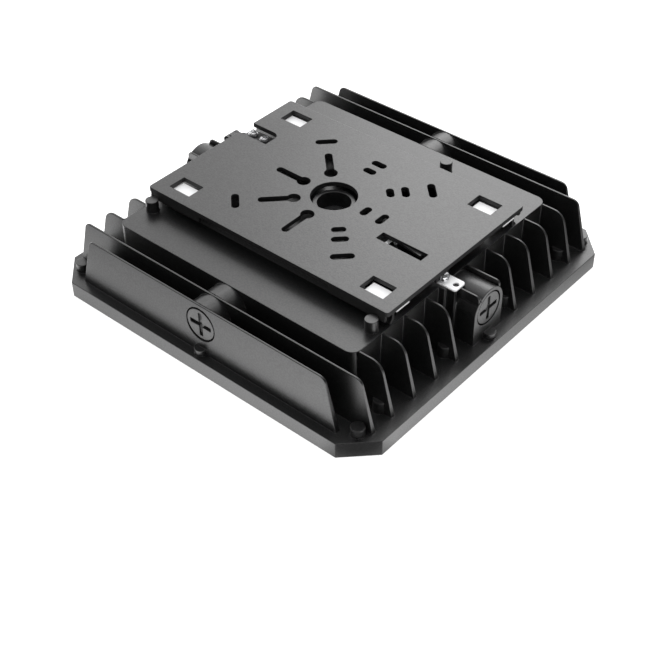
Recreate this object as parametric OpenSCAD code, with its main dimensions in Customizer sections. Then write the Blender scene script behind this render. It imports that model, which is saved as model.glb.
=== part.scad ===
// Square canopy light, lens side down, ceiling side up.
// The origin is the centre of the base's lower plane. X runs along the fins, from the hinge to the
// latch, and Z points to the ceiling.

/* [Base] */
// Side of the square base
base_w = 254; // [250:1:280]
// Height of the rim
base_h = 10.9; // [10:0.1:13]
// Leg of the cut corners
base_cut = 18.4; // [14:0.1:20]
// Wall of the skirt below the flange
skirt_t = 2.5; // [2:0.1:3.5]
// Thickness of the flange
flange_t = 3.4; // [2.5:0.1:4.5]

/* [Box] */
// Distance of the central box from the edge of the base
box_in = 32; // [30:0.5:35]
// Height of the roof above the rim's foot
box_top = 45.75; // [45:0.25:52]
// Radius of the box's corners
box_r = 6.5; // [4.5:0.5:10]
// Wall of the box
box_wall = 3.2; // [2.5:0.1:4]
// Thickness of the roof
roof_t = 3.5; // [3:0.1:5]

/* [Fins] */
// Distance of the last short fin from the box's corner
fin_end_in = 5; // [4:0.5:8]
// Number of short fins on each half of a side
fin_half_count = 5; // [3:1:5]
// Thickness of a fin at its root
fin_root_t = 3; // [2.5:0.1:4]
// Thickness of a fin at its top edge
fin_tip_t = 1.4; // [1.2:0.1:2.4]
// Distance of a fin's foot from the edge of the base
fin_foot_in = 7.3; // [5:0.1:10]
// Lean of the fins' end edges
fin_lean = 14.6; // [8:0.2:18]
// Radius of the short fins' top corners
fin_r = 9; // [4:0.5:10]
// Drop of the fins' top edges below the roof
fin_drop = 0.15; // [0.1:0.05:1]
// Distance of the two middle fins' ends from the edge of the base
mid_fin_in = 8.3; // [8.1:0.1:10]
// Radius of the middle fins' top corners
mid_fin_r = 3; // [1:0.5:6]
// Distance of the inner long fins from the box
inner_fin_out = 12; // [9:0.5:13]
// Distance of the outer long fins' top edges from the edge of the base
outer_fin_in = 8.6; // [8:0.1:11]
// Distance of the outer long fins' feet from the base's ends
outer_fin_end = 23.5; // [20:0.5:26]
// Draft of the outer long fins' outer faces
outer_fin_draft = 1.6; // [0.5:0.1:2]
// Radius of the long fins' top corners
long_fin_r = 5; // [2:0.5:8]

/* [Conduit entries] */
// Height of the entries' axes
conduit_z = 31.5; // [30:0.5:34]
// Radius of the bosses
conduit_boss_r = 14; // [13.5:0.1:14]
// Distance of the left and right bosses' faces from the edge of the base
conduit_in_x = 8; // [7:0.1:9]
// Distance of the front and back entries from the edge of the base, at their axes
conduit_in_y = 7.1; // [6.8:0.1:8]
// Radius of the threaded holes
conduit_r = 10.6; // [9:0.1:10.8]
// Radius of the seats round the plugs' heads
seat_r = 11.45; // [11.4:0.05:12.4]
// Depth of the plugs' faces in the seats
plug_recess = 0.35; // [0.3:0.05:1]
// Radius of a plug's head
plug_head_r = 10.7; // [9.5:0.05:10.9]
// Thickness of a plug's head
plug_head_t = 2.4; // [2.2:0.1:3]
// Radius of the groove behind the head
plug_groove_r = 9.8; // [8.6:0.05:10]
// Width of the groove behind the head
plug_groove_w = 2; // [1.6:0.1:2.6]
// Length of a plug's threaded part
plug_thread_l = 8.5; // [6:0.5:10]
// Length of the cross slot in a plug
plug_slot_l = 16.6; // [12:0.2:17]
// Width of the cross slot in a plug
plug_slot_w = 2.6; // [2:0.1:3.2]
// Depth of the cross slot in a plug
plug_slot_d = 1.6; // [1:0.1:1.9]
// Outer radius of a plug's seal
seal_out_r = 11.3; // [11.1:0.05:11.35]

/* [Bosses] */
// Radius of the screw bosses on the flange
boss_r = 4.3; // [4:0.1:4.6]
// Height of the corner bosses above the flange
corner_boss_h = 6; // [4:0.5:10]
// Height of the bosses that straddle the fins
fin_boss_h = 8; // [6:0.5:12]
// Height of the bosses in the middle of each side
side_boss_h = 4.2; // [3:0.1:5]
// Distance of the corner screws from the edges of the base
corner_screw_in = 14; // [13:0.1:15]
// Distance of the side screws from the edge of the base
side_screw_in = 6.5; // [6.3:0.1:6.8]
// Distance of the tray screws from the edge of the base
tray_screw_in = 17; // [16:0.1:18]
// Radius of the posts on the roof
post_r = 4.1; // [3:0.1:4.3]
// Height of the posts on the roof
post_h = 7.9; // [5:0.1:8]

/* [Hub] */
// Radius of the hub's bore, for the central conduit
hub_r = 10.7; // [9.5:0.1:11]
// Outer radius of the hub
hub_out_r = 13.6; // [13:0.1:14.2]
// Height of the hub above the roof
hub_h = 7.2; // [5:0.1:8]
// Depth of the hub below the roof
hub_deep = 4.25; // [3.5:0.25:6]
// Thickness of the shoulder that ends the bore
hub_lip_t = 3; // [2:0.5:4]
// Radius of the hole in the shoulder
hub_lip_r = 9; // [8:0.1:9.2]

/* [Mounting plate] */
// Distance of the plate's ends from the box's walls
plate_over = 0.75; // [-0.5:0.05:1.5]
// Width of the plate
plate_w = 133.5; // [130:0.5:134]
// Thickness of the plate
plate_t = 3.2; // [2:0.1:4]
// Height of the plate's upper face above the roof
plate_rise = 11.85; // [11.8:0.05:14]
// Radius of the plate's corners
plate_r = 2; // [1:0.5:4]
// Radius of the central hole
centre_r = 14.9; // [14.6:0.1:17]
// Radius where the keyholes' heads are centred
key_head_at = 25; // [23:0.5:27]
// Radius of the keyholes' heads
key_head_r = 4.3; // [4:0.1:5]
// Radius where the keyholes' slots end
key_end_at = 44.75; // [42:0.25:47]
// Width of the keyholes' slots
key_slot_w = 4.9; // [4:0.1:5.5]
// Radius of the inner row of screw slots
slot_in_at = 34.925; // [33:0.025:36]
// Radius of the outer row of screw slots
slot_out_at = 44.45; // [43:0.05:47]
// Length of the inner screw slots
slot_in_l = 9; // [7:0.5:12]
// Length of the outer screw slots
slot_out_l = 10.7; // [8:0.1:14]
// Width of the screw slots
slot_w = 4.8; // [4:0.1:5.5]
// Radius of the near slot towards the latch
slot_near_at = 25.4; // [24:0.1:27]
// Radius of the far slot towards the latch
slot_far_at = 38.1; // [36:0.1:40]
// Distance along X and Y of the diagonal slots
diagonal_at = 43.2; // [42:0.1:46]
// Length of the diagonal slots
diagonal_l = 14.5; // [10:0.5:16]
// Width of the diagonal slots
diagonal_w = 4.9; // [4:0.1:5.5]
// Length of the windows
window_l = 17.1; // [14:0.1:18]
// Width of the windows
window_w = 12.6; // [10:0.1:13.4]
// Distance of the windows' centres from the plate's ends
window_in_x = 18.75; // [17:0.25:21]
// Distance of the windows' centres from the plate's sides
window_in_y = 14.95; // [14.9:0.05:17]
// Length of the long slot
long_slot_l = 33.6; // [28:0.1:34]
// Width of the long slot
long_slot_w = 6.9; // [6:0.1:8]
// Distance of the long slot's centre from the plate's end
long_slot_in = 31.95; // [30:0.05:34]
// Place of the long slot's centre along Y
long_slot_y = -13.3; // [-14:0.1:-12.5]
// Length of the edge lips
lip_l = 42; // [30:1:60]
// Height of the edge lips
lip_h = 4.4; // [3:0.1:6]
// Thickness of the edge lips
lip_t = 2.4; // [1.5:0.1:2.8]

/* [Hinge] */
// Place of the hinge pin along X, from the plate's end
pin_out = 3.75; // [3.7:0.05:4.5]
// Height of the hinge pin below the plate's lower face
pin_drop = 1.2; // [1:0.05:1.4]
// Radius of the hinge pin
pin_r = 1.5; // [1.2:0.05:1.7]
// Outer radius of the knuckle and of the ears
knuckle_r = 2.9; // [2.7:0.05:2.95]
// Width of the plate's knuckle
knuckle_w = 5.4; // [4:0.1:6]
// Width of each of the bracket's ears
ear_w = 2.2; // [1.5:0.1:3]
// Place of the knuckle's centre along Y
knuckle_y = 12.7; // [12.2:0.1:12.8]
// Thickness of the hinge bracket
bracket_t = 1.2; // [0.8:0.1:1.4]
// Height of the bracket's pad above the roof
hinge_pad_h = 4.25; // [4:0.05:4.4]
// Depth of the notch in the plate
notch_l = 23.75; // [22:0.25:26]
// Low edge of the notch along Y
notch_y0 = 15.6; // [14.5:0.1:16]
// High edge of the notch along Y
notch_y1 = 29.3; // [29:0.1:32]
// Radius of the notch's inner corner
notch_r = 5; // [2:0.5:6]
// Spacing of the hinge screws
hinge_screw_pitch = 10; // [9:0.5:11]

/* [Clips] */
// Width of a clip
clip_w = 11.6; // [8:0.1:11.6]
// Thickness of the zinc-plated strip
strip_t = 1.2; // [0.8:0.1:1.4]
// Gap between a clip's pad and the plate
clip_gap = 0.8; // [0.5:0.1:2.5]

/* [Latch] */
// Width of the latch bracket
latch_w = 10.2; // [9.4:0.1:11]
// Place of the latch bracket's middle along Y
latch_y = -10.6; // [-11:0.1:-10.2]
// Reach of the tab beyond the box
tab_out = 10.3; // [8:0.1:12]
// Radius of the hole in the tab
tab_hole_r = 1.9; // [1.5:0.1:2.5]
// Place of the lock screw along Y
lock_y = -12.8; // [-13.2:0.1:-12.4]
// Height of the lock screw above the roof
lock_rise = 4.75; // [4.7:0.05:4.9]
// Radius of the lock screw's head
lock_head_r = 3.25; // [2.8:0.05:3.3]
// Height of the lock screw's head
lock_head_h = 3; // [2.2:0.1:3.2]
// Radius of the lock screw's shank
lock_shank_r = 1.95; // [1.6:0.05:2.1]

/* [Lens side] */
// Height of the lens frame's lower face above the rim's foot
frame_lift = 0.4; // [0.2:0.1:0.8]
// Thickness of the lens frame
frame_t = 3.5; // [3.2:0.1:3.6]
// Lap of the lens on its ledge
lens_lap = 12; // [10:0.5:15]
// Thickness of the ledge below the lens
ledge_t = 1; // [0.8:0.1:1.4]
// Distance of the lens from the edge of the base
lens_in = 27; // [26:0.5:29]
// Thickness of the sheet that the tray is pressed from
tray_t = 1.5; // [1:0.1:1.8]
// Distance of the tray's ends from the edge of the base
tray_in_x = 12; // [11:0.5:14]
// Distance of the tray's sides from the edge of the base
tray_in_y = 23; // [22:0.5:27]
// Distance of the tray's raised part from the box's outer face
pan_in = 7; // [6.5:0.5:10]
// Height of the tray's raised part above the flange's lower face
pan_h = 9.5; // [8:0.5:10]
// Distance of the light board from the edge of the tray's raised part
board_in = 19; // [18.5:0.5:21]
// Thickness of the light board
board_t = 1.6; // [1.2:0.1:2]
// Number of light emitters along each side of the board
led_count = 6; // [4:1:7]
// Distance of the outer emitters from the edge of the board
led_in = 14; // [12:0.5:20]
// Side of a light emitter
led_w = 5; // [3:0.5:6]
// Height of a light emitter
led_h = 0.7; // [0.5:0.1:1]

/* [Driver] */
// Length of the driver's case
driver_l = 120; // [100:1:130]
// Width of the driver's case
driver_w = 42; // [38:1:46]
// Height of the driver's case
driver_h = 20; // [17:0.5:20.4]
// Wall of the driver's case
driver_t = 1.2; // [0.8:0.1:1.4]
// Place of the driver's middle, as a share of the way from the hub to the box's wall
driver_share = 0.53; // [0.48:0.01:0.57]
// Length of the terminal block
terminal_l = 44; // [40:1:50]
// Width of the terminal block
terminal_w = 16; // [14:1:20]
// Height of the terminal block
terminal_h = 12; // [10:0.5:13]

/* [Fits] */
// Radial gap of a part that turns or slides in its hole
run_gap = 0.05; // [0.03:0.01:0.08]
// Radial gap of a screw in its clearance hole
hole_gap = 0.2; // [0.1:0.05:0.3]
// Gap between neighbours that don't touch
free_gap = 0.3; // [0.2:0.05:0.4]
// Radius of the housing's screws
screw_r = 1.9; // [1.6:0.05:2]
// Radius of their heads
screw_head_r = 2.9; // [2.7:0.05:3]
// Height of their heads
screw_head_h = 1.6; // [1.2:0.05:1.7]

/* [Hidden] */

// Colours
black = "#26272a";
dark = "#151517";
zinc = "#d9dcde";
steel = "#9a9da1";
copper = "#b87b45";
clear = "#eef2f4";
white = "#f2f2ee";
green = "#2f7d46";

// Overrun of the cuts, and depth of one shape's root in the next
over = 0.5;
sink = 0.6;

// Levels
flange_z = base_h - flange_t;
fin_top = box_top - fin_drop;
fin_z = base_h - flange_t / 2;
roof_under = box_top - roof_t;
plate_top = box_top + plate_rise;
plate_z = plate_top - plate_t;
hub_top = box_top + hub_h;
hub_low = roof_under - hub_deep;
tray_z = flange_z - tray_t;
frame_top = frame_lift + frame_t;
pan_top = tray_z + pan_h + tray_t;
board_top = pan_top - tray_t;
board_z = board_top - board_t;
driver_stand = 2;
driver_top = roof_under - driver_stand;

// Places on the plan
box_w = base_w - 2 * box_in;
base_x = base_w / 2;
box_x = box_w / 2;
cavity_w = box_w - 2 * box_wall;
plate_l = box_w + 2 * plate_over;
long_slot_x = plate_l / 2 - long_slot_in;
fin_pitch = (box_w - 2 * fin_end_in) / (2 * fin_half_count - 1);
long_in_y = box_x + inner_fin_out;
long_out_y = base_x - outer_fin_in;
corner_at = base_x - corner_screw_in;
side_at = base_x - side_screw_in;
tray_screw_x = base_x - tray_screw_in;
fin_row = [for (k = [0:fin_half_count - 1]) for (s = [-1, 1]) s * (k + 1 / 2) * fin_pitch];
tray_fins = [for (k = [1, fin_half_count - 1]) for (s = [-1, 1]) s * (k + 1 / 2) * fin_pitch];
window_x = plate_l / 2 - window_in_x;
window_y = plate_w / 2 - window_in_y;
rail_out = 7;
rail_y = window_y + rail_out;
rail_t = 2;
rail_gap = 0.3;
rail_end_in = 1;
rail_l = box_w - 2 * rail_end_in;
rail_foot = 3;
pin_x = -plate_l / 2 - pin_out;
pin_z = plate_z - pin_drop;

// Directions of the keyholes and of the paired slots
key_turns = [135, 180, 225, 270];
slot_turns = [90, 45, -45];

// Lens side
lens_w = base_w - 2 * lens_in;
frame_open_w = lens_w - 2 * lens_lap;
tray_l = base_w - 2 * tray_in_x;
tray_w = base_w - 2 * tray_in_y;
pan_w = box_w - 2 * pan_in;
board_w = pan_w - 2 * board_in;
led_pitch = (board_w - 2 * led_in - led_w) / (led_count - 1);

// Rib under the latch's tab
tab_rib_y0 = -17.8;
tab_rib_y1 = -15.8;
tab_rib_y2 = -13;
tab_rib_near = 4;
tab_rib_far = 9.8;

// Posts on the roof
post_right_in = 6.5;
post_left_in = 7;
post_back_in = 15;
post_back_x = 27;
post_front_out = 5.05;
post_front_y = -plate_w / 2 - post_front_out;
post_places = [[box_x - post_right_in, post_front_y], [post_left_in - box_x, post_front_y],
    [post_back_x, box_x - post_back_in]];
frame_screw_places = [[corner_at, corner_at], [-corner_at, corner_at], [-corner_at, -corner_at],
    [corner_at, -corner_at], [side_at, 0], [0, side_at], [-side_at, 0], [0, -side_at]];
tray_screw_places = [for (x = [-tray_screw_x, tray_screw_x]) for (y = tray_fins) [x, y]];
board_screw_in = 5;
board_screw_at = board_w / 2 - board_screw_in;
board_screw_places = [for (x = [-1, 1]) for (y = [-1, 1]) [x * board_screw_at, y * board_screw_at]];
board_screw_r = 1.5;
board_screw_l = 3;

// Shares of a pan-head screw
edge_share = 0.55;
crown_share = 0.72;
recess_share = 0.6;
cross_share = 0.62;
cross_w_share = 0.2;
dome_step = 15;
dome_edge_share = 0.2;

// Fillets of the small parts
lens_r = 6;
pan_r = 4;
tray_r = 6;
lens_gap = 0.4;
gasket_w = 6.5;
seal_axial_gap = 0.2;
seal_in_gap = 0.15;
thread_deep = 2.4;
grommet_out = 9;
grommet_at = board_w / 2 + grommet_out;
grommet_hole_r = 6;
grommet_in_r = 4;
grommet_flange_r = 7.6;
grommet_flange_t = 1.2;

// Driver, terminal and earth
driver_tab = 10;
driver_tab_w = 20;
driver_screw_x = driver_l / 2 + driver_tab / 2;
driver_y = box_x * driver_share;
driver_lead_r = 3.5;
terminal_share = 0.4;
terminal_y = -box_x * terminal_share;
terminal_ways = 3;
terminal_way_pitch = 9;
terminal_way_r = 2;
terminal_screw_in = 4;
clamp_r = 1.7;
clamp_l = 6;
ground_x_share = 0.53;
ground_y_share = 0.44;
ground_x = box_x * ground_x_share;
ground_y = -box_x * ground_y_share;
ground_boss_r = 5;
ground_boss_h = 3;
lug_t = 1;
lug_barrel_r = 2.2;
lug_barrel_in_r = 1.4;
lug_barrel_l = 10;
ground_head_r = 4;
ground_head_h = 2.6;
blind = 1.2;

// Latch and rest bar
ear_t = 2;
latch_in = 13.4;
latch_ear_in = 6;
plate_ear_in = 2.3;
plate_ear_t = 1.8;
plate_ear_w = 12;
plate_ear_h = 6;
washer_t = 0.9;
washer_extra = 0.15;
lock_tip = 3;
tab_hole_in = 3.4;
tab_r = 2;
rivet_r = 2.3;
rivet_h = 1.1;
rivet_shank_r = 1.4;
rivet_in = 11;
rivet_l = 2;
bar_in = 45.55;
bar_x = plate_l / 2 - bar_in;
bar_w = 2.2;
bar_l = 24;
bar_top_gap = 2.4;
tongue_near_in = 35.25;
tongue_far_in = 19.75;
tongue_near = plate_l / 2 - tongue_near_in;
tongue_far = plate_l / 2 - tongue_far_in;
tongue_w = 2.3;

// Clips
clip_foot_in = 37.6;
clip_foot = 8.4;
clip_rise_l = 3.6;
pad_end_out = 0.1;
pad_end_left_in = 8.7;
clip_screw_in = 4;
clip_screw_r = 1.4;
clip_head_r = 2.6;
clip_head_h = 1.4;
clip_screw_l = 3.6;

// Hinge bracket
bracket_y0 = 6.6;
bracket_y1 = 31;
bracket_mid_y = 20.6;
bracket_in = 21;
bracket_out = 3;
hinge_pad_in = 22;
hinge_pad_y0 = 5.9;
hinge_pad_y1 = 33;
hinge_screw_y = 25.4;
hinge_screw_in = 2.4;
hinge_head_r = 3.3;
hinge_head_h = 2.2;
hinge_screw_l = 7;
web_t = 1.7;
ear_low = 2.9;

// Plane figures
function turn(p, a) = [p.x * cos(a) - p.y * sin(a), p.x * sin(a) + p.y * cos(a)];
function cut_square(w, c) =
    [for (k = [0:3]) for (p = [[w / 2, w / 2 - c], [w / 2 - c, w / 2]]) turn(p, 90 * k)];
function inner_cut(c, t) = c - t * (2 - sqrt(2));
function side_face(a) = base_x - (a % 180 == 0 ? conduit_in_x : conduit_in_y);

module rounded(w, l, r) {
    square([w, l - 2 * r], center = true);
    square([w - 2 * r, l], center = true);
    for (x = [-1, 1], y = [-1, 1])
        translate([x * (w / 2 - r), y * (l / 2 - r)]) circle(r = r, $fn = 64);
}

module stadium(l, w) {
    square([l - w, w], center = true);
    for (s = [-1, 1]) translate([s * (l - w) / 2, 0]) circle(r = w / 2, $fn = 48);
}

// Side view of a fin's end, whose top corner is rounded
module fin_end(x0, foot, lean, r, z1) {
    cut = r / tan((90 + lean) / 2);
    x1 = foot - (z1 - base_h) * tan(lean);
    foot_x = foot + (base_h - fin_z) * tan(lean);
    polygon([[x0, fin_z], [foot_x, fin_z], [x1 + cut * sin(lean), z1 - cut * cos(lean)],
        [x1 - cut, z1], [x0, z1]]);
    translate([x1 - cut, z1 - r]) circle(r = r, $fn = 96);
}

// Bar along X whose section is given in Y and Z
module along_x(x0, x1) translate([x0, 0, 0]) rotate([90, 0, 90]) linear_extrude(x1 - x0) children();

// Bar along Y, centred, whose section is given in X and Z
module along_y(l) translate([0, l / 2, 0]) rotate([90, 0, 0]) linear_extrude(l) children();

module fin_section(y, root, tip)
    polygon([[y - root / 2, fin_z - over], [y + root / 2, fin_z - over],
        [y + tip / 2, fin_top + over], [y - tip / 2, fin_top + over]]);

module short_fins() {
    foot = base_x - fin_foot_in;
    x0 = box_x - box_wall / 2;
    intersection() {
        along_x(x0, base_x)
            for (y = fin_row) if (abs(y) > fin_pitch) fin_section(y, fin_root_t, fin_tip_t);
        along_y(base_w) fin_end(x0, foot, fin_lean, fin_r, fin_top);
    }
    intersection() {
        along_x(x0, base_x)
            for (y = fin_row) if (abs(y) < fin_pitch) fin_section(y, fin_root_t, fin_tip_t);
        along_y(base_w) fin_end(x0, base_x - mid_fin_in, 0, mid_fin_r, fin_top);
    }
}

// Section of an outer long fin, or of all that its drafted outer face closes, from y0 and y1 outwards
module outer_section(y0, y1) {
    outer_y = long_out_y + fin_tip_t / 2;
    polygon([[y0, fin_z - over], [outer_y + outer_fin_draft, fin_z - over], [outer_y, fin_top + over],
        [y1, fin_top + over]]);
}

module long_fins() {
    intersection() {
        along_x(-base_x, base_x) fin_section(long_in_y, fin_root_t, fin_tip_t);
        along_y(base_w) for (s = [0, 1]) mirror([s, 0])
            fin_end(0, base_x - fin_foot_in, fin_lean, long_fin_r, fin_top);
    }
    intersection() {
        along_x(-base_x, base_x) outer_section(long_out_y - fin_root_t / 2, long_out_y - fin_tip_t / 2);
        along_y(base_w) for (s = [0, 1]) mirror([s, 0])
            fin_end(0, base_x - outer_fin_end, fin_lean, long_fin_r, fin_top);
    }
}

module conduit_boss(a, face)
    rotate([0, 0, a]) along_x(box_x - box_wall / 2, face) {
        translate([0, conduit_z]) circle(r = conduit_boss_r, $fn = 128);
        translate([-conduit_boss_r, fin_z]) square([2 * conduit_boss_r, conduit_z - fin_z]);
    }

// The front and back bosses end in the outer fins' drafted faces
module conduit_bosses() {
    for (a = [0, 180]) conduit_boss(a, side_face(a));
    for (s = [0, 1]) mirror([0, s, 0]) intersection() {
        conduit_boss(90, base_x - skirt_t);
        along_x(-long_out_y, long_out_y) outer_section(0, 0);
    }
}

// Stepped rib on the wall, under the edge of the latch's tab
module tab_rib() {
    translate([box_x - box_wall / 2, tab_rib_y0, fin_z])
        cube([box_wall / 2 + tab_rib_near, tab_rib_y1 - tab_rib_y0 + run_gap, box_top - fin_z]);
    translate([box_x - box_wall / 2, tab_rib_y1, fin_z])
        cube([box_wall / 2 + tab_rib_far, tab_rib_y2 - tab_rib_y1, box_top - fin_z]);
}

// Frame on the axis of a conduit entry: Z points outwards and zero is the boss's face
module on_side(a)
    rotate([0, 0, a]) translate([side_face(a), 0, conduit_z]) rotate([0, 90, 0]) children();

module conduit_cut(a) on_side(a) {
    seat_deep = plug_recess + plug_head_t + plug_groove_w;
    translate([0, 0, -seat_deep]) cylinder(r = seat_r, h = seat_deep + over, $fn = 128);
    deep = side_face(a) - cavity_w / 2 + over;
    translate([0, 0, -deep]) cylinder(r = conduit_r, h = deep + over, $fn = 128);
}

module rail() {
    along_x(-rail_l / 2, rail_l / 2)
        translate([rail_y - rail_t / 2, box_top - sink])
        square([rail_t, plate_z - rail_gap - box_top + sink]);
    along_x(-rail_l / 2, rail_l / 2) polygon([
        [rail_y, box_top - sink],
        [rail_y + rail_t / 2 + rail_foot, box_top - sink],
        [rail_y + rail_t / 2, box_top + rail_foot], [rail_y, box_top + rail_foot]]);
}

module housing() color(black) difference() {
    union() {
        difference() {
            union() {
                linear_extrude(base_h) polygon(cut_square(base_w, base_cut));
                translate([0, 0, fin_z]) linear_extrude(box_top - fin_z) rounded(box_w, box_w, box_r);
                for (s = [0, 1]) mirror([s, 0, 0]) short_fins();
                for (s = [0, 1]) mirror([0, s, 0]) long_fins();
                conduit_bosses();
                tab_rib();
            }
            skirt_w = base_w - 2 * skirt_t;
            translate([0, 0, -over]) linear_extrude(flange_z + over)
                polygon(cut_square(skirt_w, inner_cut(base_cut, skirt_t)));
            linear_extrude(roof_under) rounded(cavity_w, cavity_w, box_r - box_wall);
        }
        for (p = frame_screw_places) translate([p.x, p.y, frame_top])
            cylinder(r = boss_r, h = base_h - frame_top
                + (p.x * p.y == 0 ? side_boss_h : corner_boss_h), $fn = 64);
        for (p = tray_screw_places) translate([p.x, p.y, fin_z])
            cylinder(r = boss_r, h = base_h - fin_z + fin_boss_h, $fn = 64);
        for (p = post_places) translate([p.x, p.y, box_top - sink])
            cylinder(r = post_r, h = post_h + sink, $fn = 64);
        for (s = [0, 1]) mirror([0, s, 0]) rail();
        translate([0, 0, hub_low]) cylinder(r = hub_out_r, h = hub_top - hub_low, $fn = 128);
        translate([-box_x, hinge_pad_y0, box_top - sink])
            cube([hinge_pad_in, hinge_pad_y1 - hinge_pad_y0, hinge_pad_h + sink]);
        for (s = [-1, 1]) {
            translate([s * driver_screw_x, driver_y, driver_top])
                cylinder(r = boss_r, h = driver_stand + sink, $fn = 48);
            translate([s * (terminal_l / 2 - terminal_screw_in), terminal_y, driver_top])
                cylinder(r = boss_r, h = driver_stand + sink, $fn = 48);
        }
        translate([ground_x, ground_y, roof_under - ground_boss_h])
            cylinder(r = ground_boss_r, h = ground_boss_h + sink, $fn = 48);
    }
    for (a = [0:90:270]) conduit_cut(a);
    translate([0, 0, hub_floor + hub_grommet_t]) cylinder(r = hub_r, h = hub_top - hub_low, $fn = 128);
    translate([0, 0, hub_floor]) cylinder(r = hub_r - hub_step, h = hub_top - hub_low, $fn = 128);
    translate([0, 0, hub_low - over]) cylinder(r = hub_lip_r, h = hub_lip_t + 2 * over, $fn = 96);
    for (p = frame_screw_places) translate([p.x, p.y, frame_top - over])
        cylinder(r = screw_r + run_gap, h = base_h - frame_top + side_boss_h - blind + over, $fn = 48);
    for (p = tray_screw_places) translate([p.x, p.y, flange_z - over])
        cylinder(r = screw_r + run_gap, h = base_h - flange_z + fin_boss_h - blind + over, $fn = 48);
    for (x = hinge_screw_xs) translate([x, hinge_screw_y, box_top + hinge_pad_h - hinge_screw_l])
        cylinder(r = screw_r + run_gap, h = hinge_screw_l + over, $fn = 48);
    for (s = [-1, 1]) {
        translate([s * driver_screw_x, driver_y, driver_top - over])
            cylinder(r = screw_r + run_gap, h = box_top - driver_top - blind + over, $fn = 48);
        translate([s * (terminal_l / 2 - terminal_screw_in), terminal_y, driver_top - over])
            cylinder(r = screw_r + run_gap, h = box_top - driver_top - blind + over, $fn = 48);
    }
    translate([ground_x, ground_y, roof_under - ground_boss_h - over])
        cylinder(r = screw_r + run_gap, h = ground_boss_h + roof_t - blind + over, $fn = 48);
    for (x = [-1, 1], y = [-1, 1])
        translate([x * clip_screw_x, y * window_y, box_top - clip_screw_l + strip_t])
        cylinder(r = clip_screw_r + run_gap, h = clip_screw_l, $fn = 32);
    translate([rivet_x, latch_y, box_top - rivet_l])
        cylinder(r = rivet_shank_r + run_gap, h = rivet_l + over, $fn = 32);
}

// Screws: the head's underside is at zero and the head points to Z
function pan_side(hr, hh) = [[hr, hh * edge_share], [hr * crown_share, hh]];
function dome_side(hr, hh) = [for (t = [0 : dome_step : 90 - dome_step])
    [hr * cos(t), hh * (dome_edge_share + (1 - dome_edge_share) * sin(t))]];

module cross_screw(hr, hh, sr, sl, side) difference() {
    union() {
        rotate_extrude($fn = 64)
            polygon(concat([[0, 0], [hr, 0]], side, [[0, hh]]));
        translate([0, 0, -sl]) cylinder(r = sr, h = sl + hh * edge_share, $fn = 48);
    }
    for (a = [0, 90]) rotate([0, 0, a])
        translate([-hr * cross_share, -hr * cross_w_share / 2, hh * (1 - recess_share)])
        cube([2 * hr * cross_share, hr * cross_w_share, hh]);
}

module pan_screw(hr, hh, sr, sl) cross_screw(hr, hh, sr, sl, pan_side(hr, hh));

module from_below(p) translate(p) rotate([180, 0, 0]) children();

// Pieces below the flange
frame_w = base_w - 2 * (skirt_t + free_gap);
module lens_frame() color(black) difference() {
    translate([0, 0, frame_lift]) linear_extrude(frame_t)
        polygon(cut_square(frame_w, inner_cut(base_cut, skirt_t + free_gap)));
    translate([0, 0, frame_lift - over]) linear_extrude(frame_t + 2 * over)
        rounded(frame_open_w, frame_open_w, lens_r);
    translate([0, 0, frame_lift + ledge_t]) linear_extrude(frame_t)
        rounded(lens_w + 2 * lens_gap, lens_w + 2 * lens_gap, lens_r);
    for (p = frame_screw_places) {
        translate([p.x, p.y, frame_lift - over])
            cylinder(r = screw_head_r + hole_gap, h = screw_head_h + over, $fn = 48);
        translate([p.x, p.y, frame_lift]) cylinder(r = screw_r + hole_gap, h = frame_t + over, $fn = 48);
    }
}

module lens() color(clear, 0.55) translate([0, 0, frame_lift + ledge_t])
    linear_extrude(frame_t - ledge_t) rounded(lens_w, lens_w, lens_r);

module lens_gasket() color(white) translate([0, 0, frame_top]) linear_extrude(tray_z - frame_top)
    difference() {
        rounded(lens_w - lens_gap, lens_w - lens_gap, lens_r);
        rounded(lens_w - 2 * gasket_w, lens_w - 2 * gasket_w, lens_r / 2);
    }

module frame_screws() color(steel) for (p = frame_screw_places)
    from_below([p.x, p.y, frame_lift + screw_head_h]) pan_screw(screw_head_r, screw_head_h, screw_r,
        base_h - frame_lift - screw_head_h + side_boss_h - 2 * blind);

module led_tray() color(white) difference() {
    union() {
        translate([0, 0, tray_z]) linear_extrude(tray_t) rounded(tray_l, tray_w, tray_r);
        translate([0, 0, tray_z]) linear_extrude(pan_top - tray_z) rounded(pan_w, pan_w, pan_r);
    }
    translate([0, 0, tray_z - over]) linear_extrude(pan_top - tray_t - tray_z + over)
        rounded(pan_w - 2 * tray_t, pan_w - 2 * tray_t, pan_r - tray_t);
    for (p = tray_screw_places) translate([p.x, p.y, tray_z - over])
        cylinder(r = screw_r + hole_gap, h = tray_t + 2 * over, $fn = 48);
    for (p = board_screw_places) translate([p.x, p.y, board_top - over])
        cylinder(r = board_screw_r + run_gap, h = tray_t + 2 * over, $fn = 32);
    translate([0, -grommet_at, board_top - over])
        cylinder(r = grommet_hole_r, h = tray_t + 2 * over, $fn = 64);
}

module tray_screws() color(steel) for (p = tray_screw_places)
    from_below([p.x, p.y, tray_z])
        pan_screw(screw_head_r, screw_head_h, screw_r, tray_t + flange_t + fin_boss_h - 2 * blind);

module tray_grommet() color(dark) translate([0, -grommet_at, board_top])
    rotate_extrude($fn = 64) polygon([[grommet_in_r, -grommet_flange_t],
        [grommet_flange_r, -grommet_flange_t], [grommet_flange_r, 0],
        [grommet_hole_r - run_gap, 0], [grommet_hole_r - run_gap, tray_t],
        [grommet_flange_r, tray_t], [grommet_flange_r, tray_t + grommet_flange_t],
        [grommet_in_r, tray_t + grommet_flange_t]]);

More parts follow.
